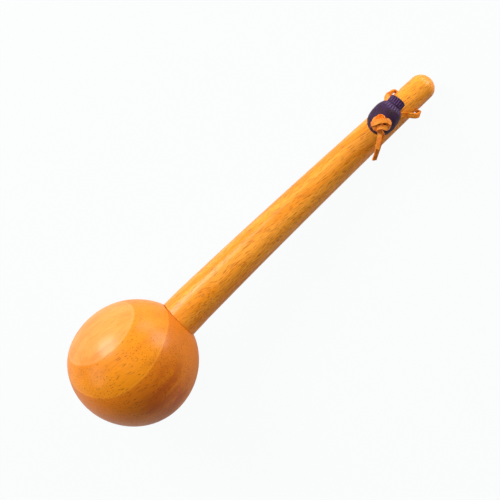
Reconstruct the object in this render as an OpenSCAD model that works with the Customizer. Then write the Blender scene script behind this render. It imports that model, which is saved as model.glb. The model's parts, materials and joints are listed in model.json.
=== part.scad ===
// Ball-headed wooden beater with a leather wrist lace, held by a spring cord lock and a knot.
// The stick's own frame has +X along the handle from the ball's centre to the tip, and +Z out
// through the cord lock. lie_down() lays the stick on the ground: ball and tip both touch z = 0.

/* [Head] */
// Radius of the ball, measured across the handle's axis
head_r = 40; // [36:0.5:44]
// Reach of the ball's curve from its centre, on the side away from the handle
head_far = 41; // [38:0.5:44]
// Reach of the ball's full curve on the handle's side, before the flat is cut
head_near = 42.3; // [40:0.1:45]

/* [Handle] */
// Distance from the ball's centre to the end of the handle
handle_reach = 259.4; // [255:0.1:265]
// Handle diameter where it meets the ball
handle_base_d = 26.7; // [24:0.1:28]
// Handle diameter where its rounded end begins
handle_end_d = 17; // [16:0.1:18]
// Length of the rounded end
handle_dome = 7.8; // [5:0.1:9]
// Diameter of the tenon that is glued into the ball
tenon_d = 18; // [12:0.5:20]
// Length of the tenon
tenon_len = 30; // [20:1:40]
// Gap for glue all round the tenon
glue_gap = 0.1; // [0.05:0.05:0.2]
// Distance from the end of the handle to the cross hole for the lace
hole_from_end = 20.8; // [20:0.1:22]
// Diameter of the cross hole
hole_d = 5.5; // [5:0.1:6.5]

/* [Lace] */
// Width of the flat leather lace
lace_w = 3; // [2.4:0.1:3.2]
// Thickness of the lace
lace_t = 1.2; // [0.8:0.1:1.2]
// Radius of the knot in the two strands
knot_r = 6; // [5:0.1:6.4]
// Height of the knot
knot_h = 8.8; // [7:0.1:9]

/* [Cord lock] */
// Greatest radius of the lock's body
lock_r = 8.9; // [8:0.05:9]
// Reach of the body from its widest place to its closed end
lock_closed = 10; // [9.4:0.05:10.2]
// Reach of the body from its widest place to its mouth
lock_mouth = 10.3; // [9:0.1:10.5]
// Radius of the plunger, which is also the push button
plunger_r = 5.3; // [4.8:0.05:5.3]
// Reach of the button's top from the body's widest place
button_reach = 16.15; // [14:0.05:17]
// How far the plunger is pressed in before the two cord holes line up
plunger_travel = 2; // [1:0.1:2.2]
// Radius of the cord hole through the body and through the plunger
cord_hole_r = 3.2; // [3:0.1:3.4]
// Wire diameter of the spring
wire_d = 0.35; // [0.25:0.05:0.4]

/* [Hidden] */

$fn = 96;
eps = 0.01;

// Handle and head
flat_margin = 0.2;
flat_r = handle_base_d / 2 + flat_margin;
neck_x = head_near * sqrt(1 - pow(flat_r / head_r, 2));
dome_x = handle_reach - handle_dome;
hole_x = handle_reach - hole_from_end;
curve_step = 3;

// How the stick lies: the tilt that brings the tip as low as the ball, and where that puts it
function low_point(reach, r, tilt) = sqrt(pow(reach * sin(tilt), 2) + pow(r * cos(tilt), 2));
function far_point(reach, r, tilt) = sqrt(pow(reach * cos(tilt), 2) + pow(r * sin(tilt), 2));
function tilt_for(drop) = asin(drop / dome_x);
first_tilt = tilt_for(head_r - handle_end_d / 2);
lie_tilt = tilt_for(low_point(head_near, head_r, first_tilt)
    - low_point(handle_dome, handle_end_d / 2, first_tilt));
lie_height = low_point(head_near, head_r, lie_tilt);
left_end = -far_point(head_far, head_r, lie_tilt);
right_end = dome_x * cos(lie_tilt) + far_point(handle_dome, handle_end_d / 2, lie_tilt);
lie_shift = -(left_end + right_end) / 2;

// Cord lock: its place in the stick's frame, its turn about +Z, and what follows from its sizes.
// The lock's own frame has its widest place at the origin and the button towards +X.
lock_pos = [216.8, 2.2, 21.7];
lock_turn = 7.5;
closed_power = 2.2;
mouth_power = 2.5;
mouth_reach = 12.3;
bore_gap = 0.1;
bore_end = -7.5;
pocket_r = 2.6;
pocket_end = -8.7;
body_hole_x = -3.8;
hole_offset = plunger_travel + 0.2;
plunger_hole_x = body_hole_x + hole_offset;
plunger_end = plunger_hole_x - cord_hole_r - 0.6;
button_round = 1.5;
flare_in = 6.6;
flare_out = 9.4;
flare_r = 5;
spring_r = 2;
spring_turns = 3.5;
spring_steps = 16;
wire_sides = 8;

// Knot: its centre in the stick's frame
knot_pos = [212.5, 1.7, 36.4];

// The lace's route in the stick's frame. Each row is a point on its centre line and the direction
// across its width there. The loop runs from the knot through the lock and round the left of the
// handle, through the cross hole, round the right, and back up through the lock to the knot.
loop_route = [
    [[214.2, 1.9, 33], [0, 1, 0]],
    [[214.8, 1.9, 30], [0, 1, 0]],
    [[214.8, 1.9, 26], [0, 1, 0]],
    [[214.8, 1.9, 22], [0, 1, 0]],
    [[214.8, 1.9, 18], [0, 1, 0]],
    [[214.8, 1.9, 14.5], [0, 1, 0]],
    [[215.6, 2, 12.6], [0, 1, 0]],
    [[217.8, 2.7, 11.7], [-0.3, 1, 0]],
    [[221, 4.3, 11.8], [-0.5, 1, 0]],
    [[224.2, 6.4, 11.4], [-0.6, 1, -0.1]],
    [[227.2, 8.5, 10.3], [-0.6, 1, -0.2]],
    [[230, 10.4, 8.6], [-0.5, 1, -0.2]],
    [[232, 11.1, 6.6], [0, 1, 0.1]],
    [[233.5, 10.7, 4.6], [0.4, 0.8, 0.5]],
    [[235.7, 10.7, 2.8], [0.4, 0.5, 0.8]],
    [[237.6, 9.8, 1], [0.3, 0.1, 1]],
    [[238, 7, 0.2], [0.2, 0, 1]],
    [[238.2, 3.5, 0], [0.2, 0, 1]],
    [[238.5, 0, 0], [0.2, 0, 1]],
    [[238.7, -3.5, 0], [0.2, 0, 1]],
    [[238.8, -7, 0.1], [0.2, 0, 1]],
    [[239.2, -9.9, 0.8], [0.4, 0.1, 0.8]],
    [[238.9, -11, 2.6], [0.8, 0.4, 0.4]],
    [[237.1, -11.1, 4.9], [0.7, 0.6, 0.4]],
    [[234.9, -9.9, 7.1], [0.6, 0.5, 0.5]],
    [[232.8, -7.8, 9.1], [0.6, 0.6, 0.5]],
    [[230.7, -5.6, 10.4], [0.6, 0.7, 0.4]],
    [[228.2, -3.5, 11.2], [0.5, 0.8, 0.3]],
    [[225.3, -1.6, 11.2], [0.4, 1, 0.1]],
    [[221.8, -0.4, 10.6], [0.4, 1, 0]],
    [[218, 1, 10.3], [0.3, 1, 0]],
    [[215.1, 1.7, 10.5], [0, 1, 0]],
    [[213.8, 1.8, 11.8], [0, 1, 0]],
    [[213.5, 1.8, 14.5], [0, 1, 0]],
    [[213.5, 1.8, 18], [0, 1, 0]],
    [[213.5, 1.8, 22], [0, 1, 0]],
    [[213.5, 1.8, 26], [0, 1, 0]],
    [[213.5, 1.8, 30], [0, 1, 0]],
    [[212.9, 1.8, 33], [0, 1, 0]]];
near_tail_route = [
    [[210.6, -0.6, 35.2], [0.7, -0.7, 0.2]],
    [[208.6, -2.2, 34.2], [0.7, -0.7, 0.3]],
    [[205.9, -4.4, 33.3], [0.7, -0.7, 0.4]],
    [[203.2, -6.4, 32.2], [0.7, -0.7, 0.4]],
    [[200.7, -8.3, 30.6], [0.7, -0.7, 0.3]]];
far_tail_route = [
    [[211, -2.4, 32.6], [0.7, -0.7, 0]],
    [[208.8, -4.2, 30.6], [0.7, -0.7, 0]],
    [[206, -6.2, 27.2], [0.7, -0.7, -0.1]],
    [[202.8, -8.3, 23], [0.7, -0.7, -0.3]],
    [[199.7, -10.3, 18.4], [0.7, -0.7, -0.5]],
    [[196.9, -12.1, 13.4], [0.7, -0.7, -0.6]]];

// Half an outline of a curve that reaches `reach` along the axis and r across it
function oval_half(reach, r, from, to) =
    [for (a = [from:curve_step:to]) [r * cos(a), reach * sin(a)]];

// Radius of the lock's body at a place along its axis
function lock_radius(x) =
    let (reach = x < 0 ? lock_closed : mouth_reach, power = x < 0 ? closed_power : mouth_power)
    lock_r * pow(max(0, 1 - pow(abs(x) / reach, power)), 1 / power);

function unit(v) = v / norm(v);

// Eight corners of the lace's section, flat with cut corners
corner = lace_t / 4;
lace_section = [
    [lace_w / 2, -lace_t / 2 + corner], [lace_w / 2, lace_t / 2 - corner],
    [lace_w / 2 - corner, lace_t / 2], [-lace_w / 2 + corner, lace_t / 2],
    [-lace_w / 2, lace_t / 2 - corner], [-lace_w / 2, -lace_t / 2 + corner],
    [-lace_w / 2 + corner, -lace_t / 2], [lace_w / 2 - corner, -lace_t / 2]];

// The section set across the route at one of its points
function lace_ring(route, i) =
    let (
        here = route[i],
        along = unit(route[min(i + 1, len(route) - 1)][0] - route[max(i - 1, 0)][0]),
        side = unit(here[1] - (here[1] * along) * along),
        face = cross(along, side))
    [for (q = lace_section) here[0] + q[0] * side + q[1] * face];

// A closed tube through a list of rings that all have the same number of points
module tube(rings) {
    count = len(rings);
    sides = len(rings[0]);
    walls = [for (i = [0:count - 2], j = [0:sides - 1], half = [0, 1])
        let (k = (j + 1) % sides, near = i * sides, far = near + sides)
        half == 0 ? [near + j, far + j, far + k] : [near + j, far + k, near + k]];
    first = [for (j = [0:sides - 1]) j];
    last = [for (j = [sides - 1:-1:0]) (count - 1) * sides + j];
    polyhedron([for (r = rings, p = r) p], concat(walls, [first, last]), convexity = 8);
}

module lace(route) {
    tube([for (i = [0:len(route) - 1]) lace_ring(route, i)]);
}

// A shape revolved about +X instead of +Z
module revolve_x() {
    rotate([0, 90, 0]) rotate_extrude() children();
}

// Laid on the ground, with the origin under the middle of the wooden stick
module lie_down() {
    translate([lie_shift, 0, lie_height]) rotate([0, lie_tilt, 0]) children();
}

module at_lock() {
    lie_down() translate(lock_pos) rotate([0, 0, lock_turn]) children();
}

module head() {
    near_angle = asin(neck_x / head_near);
    far_side = oval_half(head_far, head_r, -90, 0);
    near_side = oval_half(head_near, head_r, curve_step, near_angle - curve_step / 2);
    color("sandybrown")
    lie_down()
    difference() {
        revolve_x() polygon(concat(far_side, near_side, [[flat_r, neck_x], [0, neck_x]]));
        translate([neck_x - tenon_len - 1, 0, 0])
        rotate([0, 90, 0])
        cylinder(r = tenon_d / 2 + glue_gap, h = tenon_len + 2);
    }
}

module handle() {
    tenon_r = tenon_d / 2;
    dome = oval_half(handle_dome, handle_end_d / 2, 0, 90);
    color("peru")
    lie_down()
    difference() {
        revolve_x()
        polygon(concat(
            [[0, neck_x - tenon_len], [tenon_r, neck_x - tenon_len], [tenon_r, neck_x],
                [handle_base_d / 2, neck_x]],
            [for (p = dome) [p[0], dome_x + p[1]]]));
        translate([hole_x, 0, 0])
        rotate([90, 0, 0])
        cylinder(d = hole_d, h = handle_base_d, center = true);
    }
}

module lace_loop() {
    color("chocolate")
    lie_down() lace(loop_route);
}

module lace_knot() {
    color("orange")
    lie_down()
    translate(knot_pos)
    intersection() {
        sphere(r = knot_r);
        cube([3 * knot_r, 3 * knot_r, knot_h], center = true);
    }
}

module lace_tails() {
    color("goldenrod")
    lie_down() {
        lace(near_tail_route);
        lace(far_tail_route);
    }
}

module lock_body() {
    outline = [for (i = [0:24]) let (x = -lock_closed * cos(90 * i / 24)) [lock_radius(x), x]];
    shoulder = [for (i = [1:20]) let (x = lock_mouth * i / 20) [lock_radius(x), x]];
    color("midnightblue")
    at_lock()
    difference() {
        revolve_x() polygon(concat(outline, shoulder, [[0, lock_mouth]]));
        translate([bore_end, 0, 0])
        rotate([0, 90, 0])
        cylinder(r = plunger_r + bore_gap, h = lock_mouth - bore_end + 1);
        translate([pocket_end, 0, 0])
        rotate([0, 90, 0])
        cylinder(r = pocket_r, h = bore_end - pocket_end + eps);
        translate([body_hole_x, 0, 0])
        cylinder(r = cord_hole_r, h = 3 * lock_r, center = true);
        for (side = [0, 180])
            translate([body_hole_x, 0, 0])
            rotate([side, 0, 0])
            translate([0, 0, flare_in])
            cylinder(r1 = cord_hole_r, r2 = flare_r, h = flare_out - flare_in);
    }
}

module lock_plunger() {
    stem_end = button_reach - button_round;
    top = [for (a = [0:10:90]) [plunger_r * pow(cos(a), 0.6), stem_end + button_round * sin(a)]];
    color("darkslateblue")
    at_lock()
    difference() {
        revolve_x() polygon(concat([[0, plunger_end], [plunger_r, plunger_end]], top));
        translate([plunger_hole_x, 0, 0])
        cylinder(r = cord_hole_r, h = 3 * plunger_r, center = true);
    }
}

module lock_spring() {
    wire_r = wire_d / 2;
    rest_gap = 0.02;
    rise = plunger_end - pocket_end - wire_d - 2 * rest_gap;
    steps = spring_turns * spring_steps;
    rings = [for (i = [0:steps])
        let (a = 360 * i / spring_steps, x = pocket_end + rest_gap + wire_r + rise * i / steps)
        [for (j = [0:wire_sides - 1])
            let (b = 360 * j / wire_sides, r = spring_r + wire_r * cos(b))
            [x + wire_r * sin(b), r * cos(a), r * sin(a)]]];
    color("silver")
    at_lock() tube(rings);
}

head();
handle();
lace_loop();
lace_knot();
lace_tails();
lock_body();
lock_plunger();
lock_spring();
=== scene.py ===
"""A ball-headed wooden beater with a leather lace, a cord lock and a knot, lying on a pale floor.

Lengths are in millimetres in the stick's own frame: x runs along the handle from the ball's
centre to the tip, z comes out through the cord lock, and y makes a right-handed frame.
"""

import json
import math

import bmesh
import bpy
from mathutils import Matrix, Vector, noise


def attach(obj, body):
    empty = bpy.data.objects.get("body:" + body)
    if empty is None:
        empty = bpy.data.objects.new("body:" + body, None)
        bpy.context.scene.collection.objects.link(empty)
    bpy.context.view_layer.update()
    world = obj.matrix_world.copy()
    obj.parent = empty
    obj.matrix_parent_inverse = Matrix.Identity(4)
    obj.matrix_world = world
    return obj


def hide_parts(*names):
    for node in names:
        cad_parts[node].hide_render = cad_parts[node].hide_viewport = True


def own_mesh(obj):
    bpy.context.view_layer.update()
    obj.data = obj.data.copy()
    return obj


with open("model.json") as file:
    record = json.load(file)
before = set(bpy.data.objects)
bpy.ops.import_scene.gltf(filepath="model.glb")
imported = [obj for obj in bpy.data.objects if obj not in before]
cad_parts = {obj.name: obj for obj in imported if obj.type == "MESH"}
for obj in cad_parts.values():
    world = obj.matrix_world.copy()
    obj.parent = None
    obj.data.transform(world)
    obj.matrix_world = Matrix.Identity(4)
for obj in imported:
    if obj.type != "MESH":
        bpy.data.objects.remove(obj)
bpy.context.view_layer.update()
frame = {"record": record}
record = frame["record"]
joints = {joint["name"]: joint for joint in record["behaviour"]["joints"]}
mounts = {mount["name"]: mount for mount in record["mounts"]}

MM = 0.001

# Sizes of the stick, as in the CAD model. HEAD_FAR and HEAD_NEAR are how far the ball reaches
# away from the handle and, before its flat, towards it.
HEAD_R = 40.0
HEAD_FAR = 41.0
HEAD_NEAR = 42.3
HANDLE_REACH = 259.4
HANDLE_BASE_R = 13.35
HANDLE_END_R = 8.5
HANDLE_DOME = 7.8
TENON_R = 9.0
TENON_LEN = 30.0
GLUE_GAP = 0.1
HOLE_X = 238.6
HOLE_R = 2.75
# The ball has a flat round the handle, a little wider than the handle, and it starts at NECK_X
FLAT_R = HANDLE_BASE_R + 0.2
NECK_X = HEAD_NEAR * math.sqrt(1 - (FLAT_R / HEAD_R) ** 2)
DOME_X = HANDLE_REACH - HANDLE_DOME

# Cord lock, in its own frame: x towards the button, z out through the cord hole. Its place is in
# the stick's frame, and it is turned by so many degrees about z. Its body is a ball, closed at
# LOCK_CLOSED behind its middle and cut open at LOCK_MOUTH. Uncut, that side would reach
# MOUTH_REACH. The two powers say how square its outline is on each side: 2 is an oval.
LOCK_POS = (216.8, 2.2, 21.7)
LOCK_TURN = 7.5
LOCK_R = 8.9
LOCK_CLOSED = 10.0
LOCK_MOUTH = 10.3
CLOSED_POWER = 2.2
MOUTH_POWER = 2.5
MOUTH_REACH = 12.3
BORE_R = 5.4
BORE_END = -7.5
POCKET_R = 2.6
POCKET_END = -8.7
CORD_HOLE_R = 3.2
BODY_HOLE_X = -3.8
PLUNGER_R = 5.3
PLUNGER_HOLE_X = -1.6
PLUNGER_END = -5.4
BUTTON_REACH = 16.15
BUTTON_DOME = 1.5
CHAMFER = 0.3
SPRING_R = 2.0
SPRING_TURNS = 3.5
WIRE_R = 0.35 / 2
SPRING_GAP = 0.02
# Fine ribs for the fingers: how many, and the band they cover along the lock's axis. They fade
# out over RIB_FADE at both ends of the band.
BODY_RIBS = 26
BODY_BAND = (7.2, 10.28)
BUTTON_RIBS = 20
BUTTON_BAND = (11.2, 15.0)
RIB_DEPTH = 0.5
RIB_FADE = 0.5

# Lace. STRAND_STEP is half the distance between two strands.
LACE_W = 3.0
LACE_T = 1.2
STRAND_STEP = 0.66

# Camera: which point it looks at, from how far, how wide the picture is there, and how far the
# handle is turned up from the picture's right
AIM = (102.56, 0.9, 0.0)
DISTANCE = 800.0
PICTURE_WIDTH = 315.3
HANDLE_ANGLE = math.radians(43.84)

# Lights, each with the direction it comes from, as the camera sees it (right, up, towards), its
# distance and width in metres, its power in watts and its share of shine
LIGHTS = {
    "key": ((-0.71, 0.47, 0.56), 1.1, 0.6, 11.5, 1.0),
    "side": ((0.65, 0.62, 0.42), 1.1, 0.6, 7.0, 0.3),
    "left": ((-0.9, -0.3, 0.45), 1.1, 0.6, 2.3, 1.0),
    "top": ((0.23, 0.93, 0.28), 1.1, 0.5, 3.2, 1.0),
    "front": ((-0.1, 0.1, 1.0), 1.6, 1.2, 2.1, 1.0),
}
LIT_POINT = (60, 0, 0)
# The world's brightness: as the camera sees it, as it lights matt surfaces, and in reflections
WORLD_SEEN = 1.0
WORLD_FILL = 0.24
WORLD_GLOSS = 0.06

# Edges that turn by more degrees than this are shaded as sharp
SHARP_ANGLE = 35


# --- The stick's frame -----------------------------------------------------------------------


def stick_matrix():
    """Takes millimetres in the stick's frame to metres in the row frame."""
    x_axis = Vector(mounts["grip"]["axis"]).normalized()
    z_axis = Vector(joints["lock_slide"]["axis"]).normalized()
    y_axis = z_axis.cross(x_axis)
    origin = Vector(joints["lace_swing"]["pos_m"]) - x_axis * HOLE_X * MM
    columns = [x_axis * MM, y_axis * MM, z_axis * MM]
    matrix = Matrix.Identity(4)
    for j, column in enumerate(columns):
        for i in range(3):
            matrix[i][j] = column[i]
    for i in range(3):
        matrix[i][3] = origin[i]
    return matrix


STICK = stick_matrix()
LOCK = STICK @ Matrix.Translation(LOCK_POS) @ Matrix.Rotation(math.radians(LOCK_TURN), 4, "Z")


def picture_axes():
    """Right, up and towards the camera, as unit vectors in the row frame."""
    turn = STICK.to_3x3() * (1 / MM)
    right = turn @ Vector((math.cos(HANDLE_ANGLE), -math.sin(HANDLE_ANGLE), 0))
    up = turn @ Vector((math.sin(HANDLE_ANGLE), math.cos(HANDLE_ANGLE), 0))
    return right, up, right.cross(up)


RIGHT, UP, TOWARDS = picture_axes()


def picture_direction(right, up, towards):
    """A direction given as the camera sees it, as a unit vector in the row frame."""
    return (RIGHT * right + UP * up + TOWARDS * towards).normalized()


# --- Camera, lights and floor ----------------------------------------------------------------


def make_camera():
    data = bpy.data.cameras.new("camera")
    data.sensor_width = 36.0
    data.lens = data.sensor_width * DISTANCE / PICTURE_WIDTH
    data.clip_start = 0.01
    data.clip_end = 20.0
    camera = bpy.data.objects.new("camera", data)
    place = STICK @ Vector(AIM) + TOWARDS * DISTANCE * MM
    turn = Matrix((RIGHT, UP, TOWARDS)).transposed().to_4x4()
    camera.matrix_world = Matrix.Translation(place) @ turn
    bpy.context.scene.collection.objects.link(camera)
    bpy.context.scene.camera = camera


def make_lights():
    """Round softboxes that face the middle of the object."""
    aim = STICK @ Vector(LIT_POINT)
    for name, (direction, distance, width, power, shine) in LIGHTS.items():
        data = bpy.data.lights.new(name, "AREA")
        data.shape = "DISK"
        data.size = width
        data.energy = power
        data.specular_factor = shine
        light = bpy.data.objects.new(name, data)
        way = picture_direction(*direction)
        light.location = aim + way * distance
        light.rotation_euler = way.to_track_quat("Z", "Y").to_euler()
        bpy.context.scene.collection.objects.link(light)


def make_world():
    """A pale background, which lights the object less brightly than the camera sees it."""
    world = bpy.data.worlds.new("studio")
    world.use_nodes = True
    bpy.context.scene.world = world
    tree = world.node_tree
    tree.nodes.clear()

    def background(colour, strength):
        node = tree.nodes.new("ShaderNodeBackground")
        node.inputs["Color"].default_value = (*colour, 1)
        node.inputs["Strength"].default_value = strength
        return node.outputs[0]

    def choose(share, without, whole):
        node = tree.nodes.new("ShaderNodeMixShader")
        for socket, value in zip(node.inputs, (share, without, whole)):
            tree.links.new(value, socket)
        return node.outputs[0]

    warm = (1.0, 0.98, 0.96)
    rays = tree.nodes.new("ShaderNodeLightPath").outputs
    unseen = choose(rays["Is Glossy Ray"], background(warm, WORLD_FILL), background(warm, WORLD_GLOSS))
    light = choose(rays["Is Camera Ray"], unseen, background((0.95, 0.96, 0.96), WORLD_SEEN))
    out = tree.nodes.new("ShaderNodeOutputWorld")
    tree.links.new(light, out.inputs["Surface"])


def make_floor():
    """A pale sweep of paper just under the object. The camera sees it almost evenly bright."""
    half = 1.5
    below = 0.0002
    corners = [(-half, -half, 0), (half, -half, 0), (half, half, 0), (-half, half, 0)]
    mesh = bpy.data.meshes.new("floor")
    mesh.from_pydata(corners, [], [(0, 1, 2, 3)])
    floor = bpy.data.objects.new("floor", mesh)
    floor.location.z = -below
    bpy.context.scene.collection.objects.link(floor)
    nodes = Nodes("floor")
    paper = nodes.noise(nodes.place(), 40.0, 3.0)
    nodes.surface(Base_Color=nodes.mix(paper, srgb(212, 212, 214), srgb(217, 217, 219)), Roughness=0.9)
    seen = nodes.add("Emission", {"Color": srgb(252, 254, 254), "Strength": 1.0})
    share = nodes.math("MULTIPLY", nodes.add("LightPath").outputs["Is Camera Ray"], 0.96)
    mix = nodes.add("MixShader", {0: share, 1: nodes.shader.outputs[0], 2: seen.outputs[0]})
    nodes.put(nodes.tree.nodes["Material Output"].inputs["Surface"], mix.outputs[0])
    mesh.materials.append(nodes.material)


# --- Building meshes -------------------------------------------------------------------------


def add_mesh(name, points, faces, sharp_angle=SHARP_ANGLE):
    """A smooth-shaded piece. Its points are in metres in the row frame."""
    mesh = bpy.data.meshes.new(name)
    mesh.from_pydata([tuple(p) for p in points], [], faces)
    mesh.update()
    fix = bmesh.new()
    fix.from_mesh(mesh)
    bmesh.ops.recalc_face_normals(fix, faces=fix.faces)
    fix.to_mesh(mesh)
    fix.free()
    mesh.shade_smooth()
    mesh.set_sharp_from_angle(angle=math.radians(sharp_angle))
    piece = bpy.data.objects.new(name, mesh)
    bpy.context.scene.collection.objects.link(piece)
    return piece


def lathe(name, outline, matrix, sides, radius=None, sideways=None, sharp_angle=SHARP_ANGLE):
    """Turns an outline of (x, r) about the x axis. Its first and last points are on the axis.
    radius(x, r, angle) may change each point's radius, and sideways(x) shifts it along y."""
    points = [matrix @ Vector((outline[0][0], 0, 0))]
    for x, r in outline[1:-1]:
        shift = sideways(x) if sideways else 0.0
        for i in range(sides):
            angle = 2 * math.pi * i / sides
            reach = radius(x, r, angle) if radius else r
            place = Vector((x, shift + reach * math.cos(angle), reach * math.sin(angle)))
            points.append(matrix @ place)
    points.append(matrix @ Vector((outline[-1][0], 0, 0)))
    faces = []
    rows = len(outline) - 2
    last = len(points) - 1
    for i in range(sides):
        j = (i + 1) % sides
        faces.append((0, 1 + j, 1 + i))
        faces.append((last, 1 + (rows - 1) * sides + i, 1 + (rows - 1) * sides + j))
        for k in range(rows - 1):
            low, high = 1 + k * sides, 1 + (k + 1) * sides
            faces.append((low + i, low + j, high + j, high + i))
    return add_mesh(name, points, faces, sharp_angle)


def cut(piece, cutter):
    """Subtracts the cutter from the piece and removes the cutter."""
    modifier = piece.modifiers.new("cut", "BOOLEAN")
    modifier.operation = "DIFFERENCE"
    modifier.solver = "EXACT"
    modifier.object = cutter
    graph = bpy.context.evaluated_depsgraph_get()
    result = bpy.data.meshes.new_from_object(piece.evaluated_get(graph))
    piece.modifiers.clear()
    old = piece.data
    piece.data = result
    bpy.data.meshes.remove(old)
    bpy.data.objects.remove(cutter)
    result.set_sharp_from_angle(angle=math.radians(SHARP_ANGLE))


def paint(piece, *materials):
    """Gives the piece these materials in place of any it has."""
    piece.data.materials.clear()
    for material in materials:
        piece.data.materials.append(material)


def tube_faces(rings, sides):
    """The faces of a tube with so many rings of points, ring after ring, with both ends closed."""
    faces = []
    for i in range(rings - 1):
        for j in range(sides):
            k = (j + 1) % sides
            faces.append((i * sides + j, i * sides + k, (i + 1) * sides + k, (i + 1) * sides + j))
    faces.append(tuple(range(sides))[::-1])
    faces.append(tuple((rings - 1) * sides + j for j in range(sides)))
    return faces


def smooth_path(points, steps):
    """A smooth curve through the points, each a pair of a place and the direction of its width."""
    result = []
    count = len(points)
    for i in range(count - 1):
        before, start = points[max(i - 1, 0)], points[i]
        end, after = points[i + 1], points[min(i + 2, count - 1)]
        for step in range(steps):
            t = step / steps
            weights = (
                -0.5 * t + t * t - 0.5 * t ** 3,
                1 - 2.5 * t * t + 1.5 * t ** 3,
                0.5 * t + 2 * t * t - 1.5 * t ** 3,
                -0.5 * t * t + 0.5 * t ** 3,
            )
            place, width = Vector(), Vector()
            for weight, (point, across) in zip(weights, (before, start, end, after)):
                place += weight * point
                width += weight * across
            result.append((place, width.normalized()))
    result.append(points[-1])
    return result


def path_frames(path):
    """For each point of a path: its place, direction along, direction of its width, and normal."""
    frames = []
    for i, (place, width) in enumerate(path):
        along = (path[min(i + 1, len(path) - 1)][0] - path[max(i - 1, 0)][0]).normalized()
        side = (width - along * width.dot(along)).normalized()
        frames.append((place, along, side, along.cross(side)))
    return frames


# --- Materials -------------------------------------------------------------------------------


class Nodes:
    """A short way to write a material's nodes."""

    def __init__(self, name):
        self.material = bpy.data.materials.new(name)
        self.material.use_nodes = True
        self.tree = self.material.node_tree
        self.shader = self.tree.nodes["Principled BSDF"]

    def add(self, kind, inputs=(), **settings):
        node = self.tree.nodes.new("ShaderNode" + kind)
        for key, value in settings.items():
            setattr(node, key, value)
        for key, value in dict(inputs).items():
            self.put(node.inputs[key], value)
        return node

    def put(self, socket, value):
        if isinstance(value, bpy.types.NodeSocket):
            self.tree.links.new(value, socket)
        else:
            socket.default_value = value

    def place(self):
        """Where a point of the surface is at rest, in metres in the row frame."""
        return self.add("TexCoord").outputs["Object"]

    def from_point(self, point, scale):
        """The way to the surface from a point in the row frame, times scale."""
        away = self.add("VectorMath", {0: self.place(), 1: tuple(point)}, operation="SUBTRACT")
        scaled = {0: away.outputs[0], "Scale": scale}
        return self.add("VectorMath", scaled, operation="SCALE").outputs[0]

    def math(self, operation, a, b=0.0, c=0.0):
        return self.add("Math", {0: a, 1: b, 2: c}, operation=operation).outputs[0]

    def dot(self, vector, direction):
        node = self.add("VectorMath", {0: vector, 1: tuple(direction)}, operation="DOT_PRODUCT")
        return node.outputs["Value"]

    def combine(self, x, y, z):
        return self.add("CombineXYZ", {"X": x, "Y": y, "Z": z}).outputs[0]

    def noise(self, vector, scale, detail, roughness=0.5):
        inputs = {"Vector": vector, "Scale": scale, "Detail": detail, "Roughness": roughness}
        return self.add("TexNoise", inputs).outputs["Fac"]

    def ramp(self, value, low, high, to_low=0.0, to_high=1.0):
        """A smooth step from to_low, where value is low, to to_high, where value is high."""
        ends = {"From Min": low, "From Max": high, "To Min": to_low, "To Max": to_high}
        node = self.add("MapRange", {"Value": value, **ends}, interpolation_type="SMOOTHSTEP")
        return node.outputs["Result"]

    def mix(self, share, a, b):
        node = self.add("Mix", {"Factor": share, "A": a, "B": b}, data_type="RGBA")
        return node.outputs["Result"]

    def tint(self, colour, where, strength, over):
        """Lays the colour over another one, at most as strongly as strength, where `where` is 1."""
        return self.mix(self.math("MULTIPLY", where, strength), over, colour)

    def bump(self, height, strength, distance):
        node = self.add("Bump", {"Height": height, "Strength": strength, "Distance": distance})
        self.put(self.shader.inputs["Normal"], node.outputs[0])

    def surface(self, **values):
        for key, value in values.items():
            self.put(self.shader.inputs[key.replace("_", " ")], value)


def srgb(red, green, blue):
    """A colour given as 0 to 255 in sRGB, as linear RGBA."""
    linear = []
    for channel in (red, green, blue):
        c = channel / 255
        linear.append(c / 12.92 if c <= 0.04045 else ((c + 0.055) / 1.055) ** 2.4)
    return (*linear, 1.0)


def row_direction(x, y, z):
    """A direction in the stick's frame as a unit vector in the row frame."""
    return (STICK.to_3x3() @ Vector((x, y, z))).normalized()


# Two growth rings meet the ball's surface. The inner one is cut off by a plane, and the outer one
# by a sheet bent about a line. Each has its direction, as the camera sees it, and its depth, as a
# share of the ball's radius. BALL_HEART is the way to a darker patch.
BALL_GRAIN = (0.8, 0.58, 0.08)
BALL_POLE = (-0.556, 0.665, 0.498)
INNER_RING = ((-0.565, 0.637, 0.525), 0.795)
OUTER_RING = ((-0.477, 0.66, 0.581), 0.478)
OUTER_BEND = ((-0.027, 0.585, -0.811), 0.159)
BALL_HEART = (0.6, -0.42, 0.68)
# The lacquer's shine, and its pale bloom at a low angle
LACQUER = {"Sheen_Roughness": 0.3, "Sheen_Tint": (1.0, 0.78, 0.72, 1.0), "Coat_Roughness": 0.24}
PORE_DEPTH = 0.00012


def wood_coordinates(nodes, grain, pole):
    """Distances in millimetres from the ball's centre: along the grain, across the rings, and
    across both."""
    pole = (pole - grain * pole.dot(grain)).normalized()
    third = pole.cross(grain).normalized()
    mm = nodes.from_point(STICK @ Vector(), 1 / MM)
    return [nodes.dot(mm, axis) for axis in (grain, third, pole)]


def figure(nodes, wood, length, width, detail, roughness=0.5):
    """Noise drawn out along the grain into streaks of a length and a width in millimetres."""
    shares = [nodes.math("DIVIDE", value, size) for value, size in zip(wood, (length, width, width))]
    return nodes.noise(nodes.combine(*shares), 1.0, detail, roughness)


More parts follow.
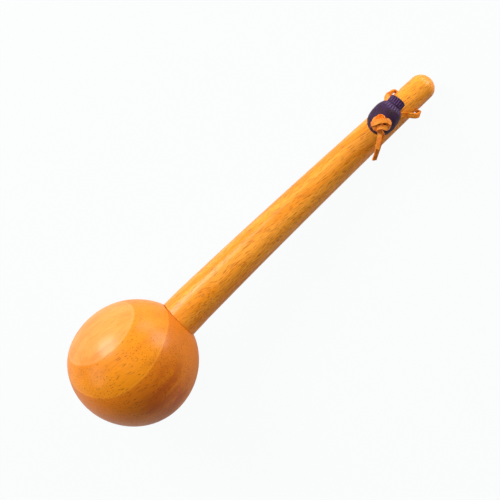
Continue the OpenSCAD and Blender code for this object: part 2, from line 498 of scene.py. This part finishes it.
def pores(nodes, wood, spacing, length, size):
    """Short dark streaks along the grain: 0 on clear wood and 1 in a pore."""
    g, t, p = wood
    stretch = nodes.combine(nodes.math("DIVIDE", g, length), t, p)
    cells = nodes.add("TexVoronoi", {"Vector": stretch, "Scale": 1 / spacing, "Randomness": 1.0})
    near = nodes.ramp(cells.outputs["Distance"], size * 0.5, size, 1.0, 0.0)
    keep = nodes.noise(stretch, 0.9 / spacing, 1.0)
    return nodes.math("MULTIPLY", near, nodes.ramp(keep, 0.36, 0.5))


def lacquer(nodes, streaks, dark, roughness, relief, coat, sheen):
    """A clear coat over wood whose streaks stand up a little and whose pores sink in."""
    nodes.surface(Roughness=nodes.ramp(streaks, 0.2, 0.8, *roughness), Specular_IOR_Level=0.2)
    nodes.surface(Coat_Weight=coat, Sheen_Weight=sheen, **LACQUER)
    height = nodes.math("SUBTRACT", nodes.math("MULTIPLY", streaks, relief), dark)
    nodes.bump(height, 0.3, PORE_DEPTH)


def growth_rings(nodes, unit):
    """How deep a point lies inside the inner and the outer ring: above 0 inside, below 0 outside."""
    waver = nodes.math("MULTIPLY_ADD", nodes.noise(unit, 2.2, 3.0), 0.03, -0.015)
    way, depth = INNER_RING
    inner = nodes.dot(unit, picture_direction(*way))
    inner = nodes.math("ADD", nodes.math("SUBTRACT", inner, depth), waver)
    way, amount = OUTER_BEND
    bend = nodes.dot(unit, picture_direction(*way))
    bend = nodes.math("MULTIPLY", bend, bend)
    way, depth = OUTER_RING
    outer = nodes.dot(unit, picture_direction(*way))
    outer = nodes.math("ADD", nodes.math("MULTIPLY_ADD", bend, amount, outer), waver)
    return inner, nodes.math("SUBTRACT", outer, depth)


def head_material():
    """Flat-sawn wood: two growth rings, each with a pale line inside its edge and a dark side."""
    nodes = Nodes("head_wood")
    unit = nodes.from_point(STICK @ Vector(), 1 / (HEAD_R * MM))
    wood = wood_coordinates(nodes, picture_direction(*BALL_GRAIN), picture_direction(*BALL_POLE))
    inner, outer = growth_rings(nodes, unit)
    edge = 0.006
    in_inner = nodes.ramp(inner, -edge, edge)
    in_outer = nodes.ramp(outer, -edge, edge)

    def pale_line(depth):
        off_line = nodes.math("ABSOLUTE", nodes.math("SUBTRACT", depth, 0.016))
        return nodes.ramp(off_line, 0.002, 0.014, 1.0, 0.0)

    def dark_side(depth, reach):
        below = nodes.math("MULTIPLY", depth, -1.0)
        fade = nodes.ramp(below, 0.02, reach, 1.0, 0.0)
        return nodes.math("MULTIPLY", nodes.ramp(below, 0.0, 0.01), fade)

    fine = figure(nodes, wood, 30, 0.9, 4.0, 0.65)
    broad = figure(nodes, wood, 50, 7, 3.0)
    few_inside = nodes.math("MULTIPLY_ADD", in_inner, -0.75, 1.0)
    spots = nodes.math("MULTIPLY", pores(nodes, wood, 0.7, 14.0, 0.32), few_inside)
    line = nodes.math("MAXIMUM", pale_line(inner), pale_line(outer))
    heart = nodes.ramp(nodes.dot(unit, picture_direction(*BALL_HEART)), 0.84, 0.99)
    heart = nodes.math("MULTIPLY", heart, nodes.ramp(broad, 0.3, 0.6))

    # Outside both rings, between them and inside; then patches, the heart, the rings' dark sides
    # and pale lines, the fine figure and the pores
    colour = nodes.mix(in_outer, srgb(222, 122, 0), srgb(234, 139, 0))
    # Inside the inner ring the wood is paler. Its whitish tint is partly the wood's own and partly a
    # painted sheen of the key light, which falls on this side of the ball
    colour = nodes.mix(in_inner, colour, srgb(238, 150, 66))
    colour = nodes.tint(srgb(206, 112, 4), nodes.ramp(broad, 0.4, 0.7), 0.4, over=colour)
    colour = nodes.tint(srgb(184, 74, 8), heart, 0.75, over=colour)
    colour = nodes.tint(srgb(190, 92, 4), dark_side(outer, 0.3), 0.15, over=colour)
    colour = nodes.tint(srgb(214, 118, 26), dark_side(inner, 0.2), 0.22, over=colour)
    colour = nodes.tint(srgb(246, 176, 80), line, 0.15, over=colour)
    colour = nodes.tint(srgb(160, 76, 4), nodes.ramp(fine, 0.46, 0.78), 0.35, over=colour)
    colour = nodes.tint(srgb(128, 52, 0), spots, 0.9, over=colour)
    nodes.surface(Base_Color=colour)
    lacquer(nodes, fine, spots, roughness=(0.5, 0.62), relief=0.25, coat=0.3, sheen=0.14)
    return nodes.material


def handle_material():
    """Wood with fine open pores, whose grain wanders a little to one side and back."""
    nodes = Nodes("handle_wood")
    g, t, p = wood_coordinates(nodes, row_direction(1, -0.1, 0.03), row_direction(0.02, 0.6, 1))
    where = nodes.combine(nodes.math("DIVIDE", g, 46), nodes.math("DIVIDE", t, 40), 0.3)
    sway = nodes.math("SUBTRACT", nodes.noise(where, 1.0, 2.0), 0.5)
    wood = (g, nodes.math("ADD", t, nodes.math("MULTIPLY", sway, 9.0)), p)
    streaks = figure(nodes, wood, 16, 0.62, 4.0, 0.62)
    bands = figure(nodes, wood, 90, 5, 3.0)
    dark = pores(nodes, wood, 0.6, 12.0, 0.36)

    # Broad bands of two tones, then streaks and pores
    colour = nodes.mix(nodes.ramp(bands, 0.35, 0.65), srgb(244, 158, 48), srgb(234, 140, 20))
    colour = nodes.tint(srgb(176, 90, 14), nodes.ramp(streaks, 0.44, 0.7), 0.6, over=colour)
    colour = nodes.tint(srgb(136, 58, 0), dark, 0.75, over=colour)
    nodes.surface(Base_Color=colour)
    lacquer(nodes, streaks, dark, roughness=(0.34, 0.47), relief=0.3, coat=0.25, sheen=0.16)
    return nodes.material


def plastic_material(name, count, start, end):
    """Dark plastic whose ribs, count of them between two places on the lock's axis, carry a painted
    highlight on their crests.
    """
    nodes = Nodes(name)
    where = nodes.place()
    grain = nodes.noise(where, 1500.0, 3.0, 0.6)
    patches = nodes.noise(where, 420.0, 2.0)
    away = nodes.from_point(LOCK @ Vector(), 1 / MM)
    x, y, z = [nodes.dot(away, LOCK.to_3x3().col[i].normalized()) for i in range(3)]
    angle = nodes.math("ARCTAN2", z, y)
    wave = nodes.math("ABSOLUTE", nodes.math("SINE", nodes.math("MULTIPLY", angle, count / 2)))
    fade_out = nodes.ramp(x, end - RIB_FADE, end, 1.0, 0.0)
    band = nodes.math("MULTIPLY", nodes.ramp(x, start, start + RIB_FADE), fade_out)
    # Painted highlight: a paler tint on the crests of the ribs, where light would catch them
    crest_highlight = nodes.math("MULTIPLY", nodes.ramp(wave, 0.55, 0.95), band)
    # Two dark tones in patches, then pale specks and a painted highlight on the crests of the ribs
    colour = nodes.mix(nodes.ramp(patches, 0.35, 0.65), srgb(50, 28, 42), srgb(56, 33, 70))
    colour = nodes.tint(srgb(92, 66, 104), nodes.ramp(grain, 0.55, 0.8), 0.4, over=colour)
    colour = nodes.tint(srgb(108, 76, 128), crest_highlight, 0.5, over=colour)
    nodes.surface(Base_Color=colour, Roughness=nodes.ramp(grain, 0.2, 0.8, 0.42, 0.58))
    nodes.surface(Specular_IOR_Level=0.16)
    nodes.bump(grain, 0.5, 0.0002)
    return nodes.material


def leather_material(name, light, deep, fibre_scale, rough, shine, relief):
    """Tan leather in two tones. rough is the roughness of its smoothest and roughest fibres."""
    nodes = Nodes(name)
    where = nodes.place()
    fibres = nodes.noise(where, fibre_scale, 4.0, 0.65)
    blotches = nodes.noise(where, 260.0, 3.0)
    pits = nodes.add("TexVoronoi", {"Vector": where, "Scale": 2300.0}).outputs["Distance"]
    colour = nodes.mix(nodes.ramp(blotches, 0.3, 0.7), light, deep)
    colour = nodes.tint(srgb(166, 72, 6), nodes.ramp(fibres, 0.5, 0.8), 0.4, over=colour)
    nodes.surface(Base_Color=colour, Roughness=nodes.ramp(fibres, 0.2, 0.8, *rough))
    nodes.surface(Specular_IOR_Level=shine)
    nodes.bump(nodes.math("ADD", nodes.math("MULTIPLY", pits, 0.4), fibres), relief, 0.00015)
    return nodes.material


def grain_side():
    return leather_material(
        "leather_grain", srgb(240, 150, 44), srgb(222, 114, 12),
        fibre_scale=1500.0, rough=(0.5, 0.66), shine=0.35, relief=0.35,
    )


def raw_side():
    return leather_material(
        "leather_raw", srgb(242, 148, 40), srgb(216, 106, 8),
        fibre_scale=2400.0, rough=(0.8, 0.95), shine=0.2, relief=0.7,
    )


def steel_material():
    nodes = Nodes("spring_steel")
    drawn = nodes.noise(nodes.place(), 3000.0, 2.0)
    nodes.surface(Base_Color=nodes.mix(drawn, srgb(150, 152, 156), srgb(190, 192, 196)))
    nodes.surface(Metallic=1.0, Roughness=nodes.ramp(drawn, 0.2, 0.8, 0.25, 0.4))
    return nodes.material


# --- Wooden parts ----------------------------------------------------------------------------


def flared(end, end_r, waist, r):
    """The outline of a drill of radius r that widens to end_r, from waist to end, both ways."""
    return [(-end, 0), (-end, end_r), (-waist, r), (waist, r), (end, end_r), (end, 0)]


def oval(reach, r, start, end, steps):
    """Points (x, r) on an oval that reaches `reach` along x, from one angle to another in degrees."""
    result = []
    for i in range(steps + 1):
        angle = math.radians(start + (end - start) * i / steps)
        result.append((reach * math.sin(angle), r * math.cos(angle)))
    return result


# How far the handle bends to +y, in millimetres. It is pinned at the ball's centre and at BOW_END,
# and past the neck it leans back a little.
BOW = 7.0
BOW_SLACKENS = 2.9
BOW_END = 255.0
LEAN_BACK = 0.16
# How much of the bend is there at the neck, and how far on the bend and the lean are whole
NECK_SHARE = 0.55
BOW_RUN = 30.0
LEAN_RUN = 20.0


def bow(x):
    """A turned handle is never quite straight: how far this one bends at a place along it."""
    if x <= NECK_X - 1:
        return 0.0
    share = min(1.0, x / BOW_END)
    fade = min(1.0, NECK_SHARE + (x - NECK_X) / BOW_RUN)
    lean = LEAN_BACK * min(1.0, (x - NECK_X + 1) / LEAN_RUN)
    return share * (1 - share) * (BOW - BOW_SLACKENS * share) * fade - lean


# Where the ball departs from a turned oval: direction as the camera sees it, swelling in
# millimetres, spread in degrees
UNEVEN = [
    ((-0.98, 0.1, 0.1), 1.2, 27),
    ((-0.34, -0.94, 0.1), -1.45, 40),
    ((0.1, 0.98, 0.1), -0.5, 25),
]


def swelling(out):
    """How far the ball departs from a turned oval in a direction, in millimetres."""
    total = 0.0
    for direction, amount, spread in UNEVEN:
        off = out.angle(picture_direction(*direction)) / math.radians(spread)
        total += amount * math.exp(-off ** 2)
    return total


def make_head():
    """The ball, with a flat and a mortise for the handle."""
    near_angle = math.degrees(math.asin(NECK_X / HEAD_NEAR))
    mortise = TENON_R + GLUE_GAP
    mortise_end = NECK_X - TENON_LEN - 1
    soften = 0.35
    outline = oval(HEAD_FAR, HEAD_R, -90, 0, 64)
    outline += oval(HEAD_NEAR, HEAD_R, 0, near_angle - 1.2, 56)[1:]
    outline += [(NECK_X - 0.08, FLAT_R - 0.02), (NECK_X, FLAT_R - soften)]
    outline += [(NECK_X, mortise), (mortise_end, mortise), (mortise_end, 0)]
    head = lathe("ball_head", outline, STICK, sides=192)
    # Only the outside is uneven: the mortise stays round
    for vertex in head.data.vertices:
        away = vertex.co - STICK @ Vector()
        if away.length > 0.8 * HEAD_R * MM:
            out = away.normalized()
            vertex.co += out * swelling(out) * MM
    paint(head, head_material())
    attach(head, "stick")
    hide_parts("head")


def make_handle():
    """The handle, with a tenon, an even taper, a rounded end and a flared cross hole."""
    rows = 110
    edge = 0.25
    shoulder = NECK_X + 0.02
    tenon_end = NECK_X - TENON_LEN
    length = DOME_X - NECK_X
    outline = [(tenon_end, 0), (tenon_end, TENON_R - 1), (tenon_end + 1, TENON_R), (shoulder, TENON_R)]
    outline += [(shoulder, HANDLE_BASE_R - edge), (NECK_X + edge, HANDLE_BASE_R)]
    for i in range(1, rows + 1):
        x = NECK_X + edge + (length - edge) * i / rows
        outline.append((x, HANDLE_BASE_R + (HANDLE_END_R - HANDLE_BASE_R) * (x - NECK_X) / length))
    outline += [(DOME_X + x, r) for x, r in oval(HANDLE_DOME, HANDLE_END_R, 0, 90, 24)[1:]]
    handle = lathe("turned_handle", outline, STICK, sides=128, sideways=bow)
    across = STICK @ Matrix.Translation((HOLE_X, 0, 0)) @ Matrix.Rotation(math.pi / 2, 4, "Z")
    cut(handle, lathe("drill", flared(14, HOLE_R + 5.6, 8.2, HOLE_R), across, sides=48))
    paint(handle, handle_material())
    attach(handle, "stick")
    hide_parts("handle")


# --- Cord lock -------------------------------------------------------------------------------


def lock_radius(x):
    """Radius of the lock's body at a place along its axis."""
    reach, power = (LOCK_CLOSED, CLOSED_POWER) if x < 0 else (MOUTH_REACH, MOUTH_POWER)
    return LOCK_R * max(0.0, 1 - (abs(x) / reach) ** power) ** (1 / power)


def ribs(count, start, end):
    """Changes a radius into a ring of fine ribs that fade out at both ends of a band."""
    def radius(x, r, angle):
        fade_in = min(1.0, max(0.0, (x - start) / RIB_FADE))
        fade = fade_in * min(1.0, max(0.0, (end - x) / RIB_FADE))
        wave = abs(math.sin(count * angle / 2)) ** 0.7
        return r + RIB_DEPTH * fade * (wave - 1.0)
    return radius


def cord_hole(x):
    """A cutter for the cord hole, flared where it leaves the body."""
    upright = LOCK @ Matrix.Translation((x, 0, 0)) @ Matrix.Rotation(-math.pi / 2, 4, "Y")
    return lathe("cord_hole", flared(10, 5.4, 6.6, CORD_HOLE_R), upright, sides=64)


def make_body():
    """The lock's body: a closed ball with a mouth, a bore for the button and a spring pocket."""
    rows = [-LOCK_CLOSED * math.cos(math.pi / 2 * i / 40) for i in range(41)]
    rows += [LOCK_MOUTH * i / 60 for i in range(1, 61)]
    outline = [(x, lock_radius(x)) for x in rows]
    rim = outline[-1][1]
    outline[-1] = (LOCK_MOUTH - 0.12, rim)
    outline += [(LOCK_MOUTH, rim - 0.15), (LOCK_MOUTH, BORE_R + 0.1), (LOCK_MOUTH - 0.15, BORE_R)]
    outline += [(BORE_END, BORE_R), (BORE_END, POCKET_R), (POCKET_END, POCKET_R), (POCKET_END, 0)]
    ribbed = ribs(BODY_RIBS, *BODY_BAND)
    body = lathe("lock_shell", outline, LOCK, sides=360, radius=ribbed, sharp_angle=60)
    cut(body, cord_hole(BODY_HOLE_X))
    paint(body, plastic_material("shell_plastic", BODY_RIBS, *BODY_BAND))
    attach(body, "lock")
    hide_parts("lock_body")
    return body


def make_plunger():
    """The button, with a slightly domed end and a stem that holds the cord hole."""
    stem = BUTTON_REACH - BUTTON_DOME
    start = PLUNGER_END + CHAMFER
    outline = [(PLUNGER_END, 0), (PLUNGER_END, PLUNGER_R - CHAMFER)]
    outline += [(start + (stem - start) * i / 70, PLUNGER_R) for i in range(71)]
    for i in range(1, 24):
        angle = math.pi / 2 * i / 24
        outline.append((stem + BUTTON_DOME * math.sin(angle), PLUNGER_R * math.cos(angle) ** 0.6))
    outline.append((BUTTON_REACH, 0))
    ribbed = ribs(BUTTON_RIBS, *BUTTON_BAND)
    plunger = lathe("lock_button", outline, LOCK, sides=280, radius=ribbed, sharp_angle=60)
    cut(plunger, cord_hole(PLUNGER_HOLE_X))
    paint(plunger, plastic_material("button_plastic", BUTTON_RIBS, *BUTTON_BAND))
    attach(plunger, "plunger")
    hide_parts("lock_plunger")
    return plunger


def make_spring():
    """A wire spring between the pocket's end and the plunger."""
    sides, steps = 12, round(SPRING_TURNS * 32)
    room = PLUNGER_END - POCKET_END - 2 * SPRING_GAP
    points = []
    for i in range(steps + 1):
        turn = 2 * math.pi * SPRING_TURNS * i / steps
        middle = POCKET_END + SPRING_GAP + WIRE_R + (room - 2 * WIRE_R) * i / steps
        for j in range(sides):
            angle = 2 * math.pi * j / sides
            r = SPRING_R + WIRE_R * math.cos(angle)
            x = middle + WIRE_R * math.sin(angle)
            points.append(LOCK @ Vector((x, r * math.cos(turn), r * math.sin(turn))))
    spring = add_mesh("lock_coil", points, tube_faces(steps + 1, sides), sharp_angle=60)
    paint(spring, steel_material())
    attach(spring, "lock")
    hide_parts("lock_spring")
    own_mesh(spring)
    return spring


# --- Lace ------------------------------------------------------------------------------------

# The loop's route, the same points as the CAD model's. Each row is a point on the lace's centre
# line and the direction across its width there.
LOOP_ROUTE = [
    ((214.2, 1.9, 33), (0, 1, 0)),
    ((214.8, 1.9, 30), (0, 1, 0)),
    ((214.8, 1.9, 26), (0, 1, 0)),
    ((214.8, 1.9, 22), (0, 1, 0)),
    ((214.8, 1.9, 18), (0, 1, 0)),
    ((214.8, 1.9, 14.5), (0, 1, 0)),
    ((215.6, 2, 12.6), (0, 1, 0)),
    ((217.8, 2.7, 11.7), (-0.3, 1, 0)),
    ((221, 4.3, 11.8), (-0.5, 1, 0)),
    ((224.2, 6.4, 11.4), (-0.6, 1, -0.1)),
    ((227.2, 8.5, 10.3), (-0.6, 1, -0.2)),
    ((230, 10.4, 8.6), (-0.5, 1, -0.2)),
    ((232, 11.1, 6.6), (0, 1, 0.1)),
    ((233.5, 10.7, 4.6), (0.4, 0.8, 0.5)),
    ((235.7, 10.7, 2.8), (0.4, 0.5, 0.8)),
    ((237.6, 9.8, 1), (0.3, 0.1, 1)),
    ((238, 7, 0.2), (0.2, 0, 1)),
    ((238.2, 3.5, 0), (0.2, 0, 1)),
    ((238.5, 0, 0), (0.2, 0, 1)),
    ((238.7, -3.5, 0), (0.2, 0, 1)),
    ((238.8, -7, 0.1), (0.2, 0, 1)),
    ((239.2, -9.9, 0.8), (0.4, 0.1, 0.8)),
    ((238.9, -11, 2.6), (0.8, 0.4, 0.4)),
    ((237.1, -11.1, 4.9), (0.7, 0.6, 0.4)),
    ((234.9, -9.9, 7.1), (0.6, 0.5, 0.5)),
    ((232.8, -7.8, 9.1), (0.6, 0.6, 0.5)),
    ((230.7, -5.6, 10.4), (0.6, 0.7, 0.4)),
    ((228.2, -3.5, 11.2), (0.5, 0.8, 0.3)),
    ((225.3, -1.6, 11.2), (0.4, 1, 0.1)),
    ((221.8, -0.4, 10.6), (0.4, 1, 0)),
    ((218, 1, 10.3), (0.3, 1, 0)),
    ((215.1, 1.7, 10.5), (0, 1, 0)),
    ((213.8, 1.8, 11.8), (0, 1, 0)),
    ((213.5, 1.8, 14.5), (0, 1, 0)),
    ((213.5, 1.8, 18), (0, 1, 0)),
    ((213.5, 1.8, 22), (0, 1, 0)),
    ((213.5, 1.8, 26), (0, 1, 0)),
    ((213.5, 1.8, 30), (0, 1, 0)),
]
NEAR_TAIL_ROUTE = [
    ((208.6, -2.2, 34.2), (-0.7, 0.7, -0.3)),
    ((205.9, -4.4, 33.3), (-0.7, 0.7, -0.4)),
    ((203.2, -6.4, 32.2), (-0.7, 0.7, -0.4)),
    ((200.7, -8.3, 30.6), (-0.7, 0.7, -0.3)),
]
FAR_TAIL_ROUTE = [
    ((208.8, -4.2, 30.6), (-0.7, 0.7, 0)),
    ((206, -6.2, 27.2), (-0.7, 0.7, 0.1)),
    ((202.8, -8.3, 23), (-0.7, 0.7, 0.3)),
    ((199.7, -10.3, 18.4), (-0.7, 0.7, 0.5)),
    ((196.9, -12.1, 13.4), (-0.7, 0.7, 0.6)),
]
# The knot, about its own centre, as the camera sees it: right, up, towards. Both strands follow
# this line, one on each side of it.
KNOT_POS = (212.5, 1.7, 36.4)
KNOT_ROUTE = [
    ((1.1, 1.25, -6.4), (-0.69, 0.72, 0)),
    ((1.0, 1.3, -4.4), (-0.8, 0.4, 0.3)),
    ((1.0, 1.7, -2.2), (-0.7, 0.1, 0.6)),
    ((1.1, 2.8, -0.2), (-0.3, 0, 1)),
    ((0.2, 3.5, 0.9), (0, 0, 1)),
    ((-1.5, 3.1, 1.2), (0.2, 0.2, 1)),
    ((-3.0, 1.9, 1.1), (0.6, 0.4, 0.6)),
    ((-3.8, 0.1, 0.8), (0.9, 0.2, 0.3)),
    ((-3.9, -1.8, 0.9), (1, 0, 0.1)),
    ((-3.3, -3.4, 0.4), (0.9, -0.3, 0)),
    ((-2.4, -4.0, -0.9), (0.9, -0.4, 0)),
    ((-2.2, -2.9, -2.2), (0.9, 0.1, 0.3)),
    ((-3.4, -1.7, -1.8), (0.4, 0.9, 0.2)),
    ((-4.7, -1.3, -0.3), (0, 1, 0)),
    ((-4.7, -1.1, 1.8), (0, 1, 0)),
    ((-3.5, -0.5, 3.4), (-0.15, 1, 0)),
    ((-1.2, 0.3, 4.3), (-0.25, 1, 0)),
    ((1.3, 0.8, 4.3), (-0.05, 1, 0)),
    ((3.6, 0.3, 3.2), (0.2, 1, -0.2)),
    ((4.9, -1.1, 1.4), (0.3, 0.5, -0.8)),
    ((4.0, -2.8, 0.7), (0.1, -0.5, -0.9)),
    ((2.4, -3.4, 1.9), (0.1, -0.95, -0.3)),
    ((0.5, -2.9, 2.6), (0, -1, 0)),
    ((-0.9, -3.2, 2.2), (0, -1, 0)),
    ((-1.5, -3.8, 0.8), (0, -1, 0)),
    ((-1.1, -4.2, -0.5), (-0.4, -0.9, 0)),
    ((-0.8, -4.9, -0.8), (-0.9, -0.3, -0.3)),
]


def knot_strands():
    """The two strands of the knot, in the stick's frame, from the lock to the tails."""
    cosine, sine = math.cos(HANDLE_ANGLE), math.sin(HANDLE_ANGLE)

    def turned(v):
        return Vector((v[0] * cosine + v[1] * sine, v[1] * cosine - v[0] * sine, v[2]))

    line = [(Vector(KNOT_POS) + turned(place), turned(width)) for place, width in KNOT_ROUTE]
    inner, outer = [], []
    for place, along, side, normal in path_frames(line):
        inner.append((place - normal * STRAND_STEP, side))
        outer.append((place + normal * STRAND_STEP, side))
    return inner, outer


def as_vectors(rows):
    return [(Vector(place), Vector(width)) for place, width in rows]


def lace_path():
    """From the near tail's end through the knot, round the loop, and back to the far tail's end.
    The knot's strands take the place of the loop's own points where it leaves the lock."""
    inner, outer = knot_strands()
    loop = as_vectors(LOOP_ROUTE[2:-1])
    to_near_tail = inner + as_vectors(NEAR_TAIL_ROUTE)
    return smooth_path(to_near_tail[::-1] + loop + outer + as_vectors(FAR_TAIL_ROUTE), 6)


# The lace is narrower past TAILS_FROM, by a share of its width, and wider round WIDE_PLACE, where it
# comes out of the handle's right side. Both come in over WIDTH_RUN. The rest is uneven cutting.
TAILS_FROM = 209
TAILS_NARROWER = 0.1
WIDE_PLACE = (235.5, -10, 6)
WIDE_SHARE = 0.12
WIDTH_RUN = 5
UNEVEN_WIDTH = 0.05
UNEVEN_FACE = 0.05


def lace_width(place, i):
    """How wide the lace is at one of its points, the one with number i."""
    tail = min(1.0, max(0.0, (TAILS_FROM - place.x) / WIDTH_RUN))
    wide = math.exp(-((place - Vector(WIDE_PLACE)).length / WIDTH_RUN) ** 2)
    uneven = noise.noise(Vector((i * 0.13, 3, 5)))
    return LACE_W * (1 - TAILS_NARROWER * tail + WIDE_SHARE * wide + UNEVEN_WIDTH * uneven)


# Corners of the lace's section, as shares of its half width and half thickness. The smooth grain
# side lies between GRAIN_START and GRAIN_END, and the rest is raw.
LACE_SECTION = [
    (-0.94, -1), (-0.5, -1), (0, -1), (0.5, -1), (0.94, -1), (1, -0.8), (1, 0.8),
    (0.94, 1), (0.5, 1), (0, 1), (-0.5, 1), (-0.94, 1), (-1, 0.8), (-1, -0.8),
]
GRAIN_START, GRAIN_END = 7, 11


def make_lace():
    """The whole lace as one strip, and the places on its centre line in the row frame."""
    frames = path_frames(lace_path())
    sides = len(LACE_SECTION)
    points = []
    for i, (place, along, side, normal) in enumerate(frames):
        width = lace_width(place, i) / 2
        for a, b in LACE_SECTION:
            point = place + side * a * width + normal * b * LACE_T / 2
            rough = UNEVEN_FACE * noise.noise(point * 0.9)
            points.append(STICK @ (point + normal * b * rough + side * a * rough))
    lace = add_mesh("leather_lace", points, tube_faces(len(frames), sides), sharp_angle=50)
    paint(lace, grain_side(), raw_side())
    walls = (len(frames) - 1) * sides
    for i, face in enumerate(lace.data.polygons):
        smooth = i < walls and GRAIN_START <= i % sides < GRAIN_END
        face.material_index = 0 if smooth else 1
    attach(lace, "lace")
    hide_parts("lace_loop", "lace_knot", "lace_tails")
    return lace, [tuple(STICK @ place) for place, along, side, normal in frames]


bpy.context.scene.view_settings.view_transform = "Standard"
make_camera()
leather_lace, lace_route = make_lace()
make_body()
make_plunger()
make_spring()
make_head()
make_handle()
make_floor()
make_lights()
make_world()
